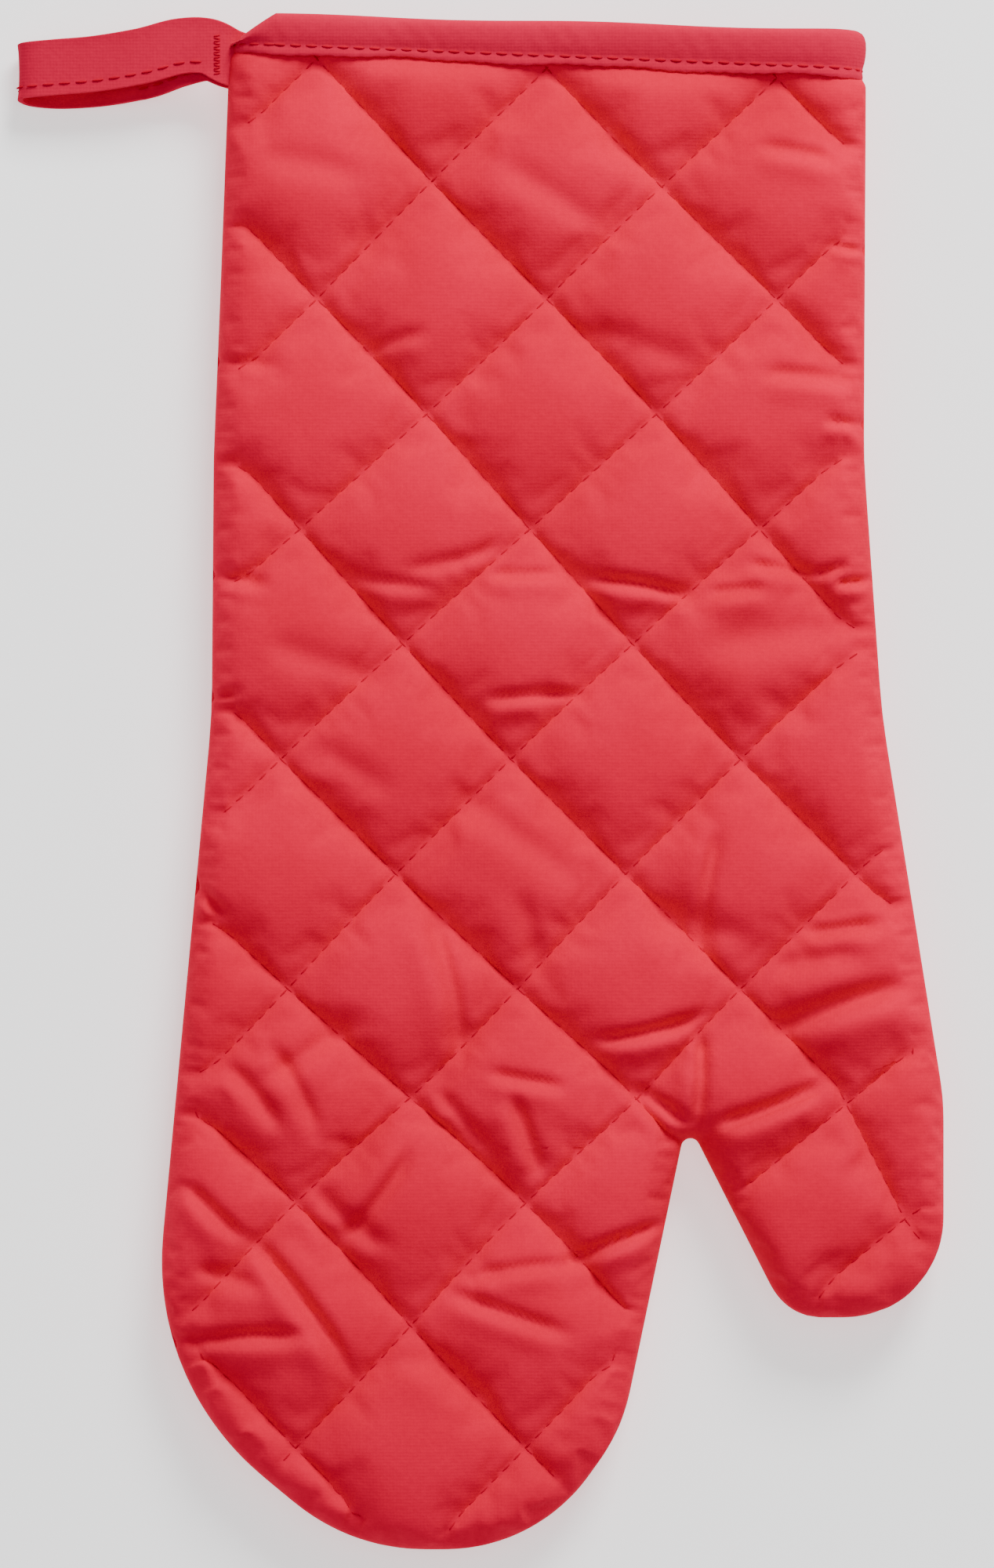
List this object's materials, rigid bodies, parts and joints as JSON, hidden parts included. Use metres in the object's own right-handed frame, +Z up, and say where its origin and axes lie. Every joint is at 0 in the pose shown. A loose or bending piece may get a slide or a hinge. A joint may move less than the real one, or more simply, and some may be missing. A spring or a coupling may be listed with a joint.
{
  "type": "oven mitt",
  "caption": "Quilted padded mitt with a separate thumb, a bound cuff open for the hand and a tape hanging loop at the cuff's corner.",
  "frame": {"origin": "on the surface the mitt lies on, on the cuff's centreline, at about mid length", "axes": "+Z up from that surface, +Y towards the cuff's mouth, +X towards the thumb"},
  "size_m": [0.1994, 0.3287, 0.0198],
  "materials": {
    "quilted_shell": "plain-weave cotton, matt, quilted in diamonds",
    "binding_tape": "folded cotton tape, matt",
    "red_thread": "spun thread, matt",
    "batting": "loose needled wadding",
    "lining": "plain cotton, matt"
  },
  "bodies": {
    "palm": {"front_shell_palm": "quilted_shell", "front_batting_palm": "batting", "front_lining_palm": "lining", "front_quilting_thread_palm": "red_thread", "back_shell_palm": "quilted_shell", "back_batting_palm": "batting", "back_lining_palm": "lining", "back_quilting_thread_palm": "red_thread", "seam_thread_palm": "red_thread", "binding_thread": "red_thread", "cuff_binding": "binding_tape", "loop_tail": "binding_tape", "loop_bar_tack": "red_thread"},
    "fingers": {"front_shell_fingers": "quilted_shell", "front_batting_fingers": "batting", "front_lining_fingers": "lining", "front_quilting_thread_fingers": "red_thread", "back_shell_fingers": "quilted_shell", "back_batting_fingers": "batting", "back_lining_fingers": "lining", "back_quilting_thread_fingers": "red_thread", "seam_thread_fingers": "red_thread"},
    "thumb": {"front_shell_thumb": "quilted_shell", "front_batting_thumb": "batting", "front_lining_thumb": "lining", "front_quilting_thread_thumb": "red_thread", "back_shell_thumb": "quilted_shell", "back_batting_thumb": "batting", "back_lining_thumb": "lining", "back_quilting_thread_thumb": "red_thread", "seam_thread_thumb": "red_thread"},
    "loop": {"hanging_loop": "binding_tape", "loop_thread": "red_thread"}
  },
  "joints": [
    {"name": "finger_bend", "type": "hinge", "parent": "palm", "child": "fingers", "pos_m": [-0.028, -0.084, 0.0198], "axis": [-1, 0, 0], "range_deg": [0, 80]},
    {"name": "thumb_bend", "type": "hinge", "parent": "palm", "child": "thumb", "pos_m": [0.03, -0.0774, 0.0198], "axis": [-0.9285, -0.3714, 0], "range_deg": [0, 55]},
    {"name": "loop_fold", "type": "hinge", "parent": "palm", "child": "loop", "pos_m": [-0.076, 0.15465, 0.0099], "axis": [0, 1, 0], "range_deg": [0, 90]}
  ]
}
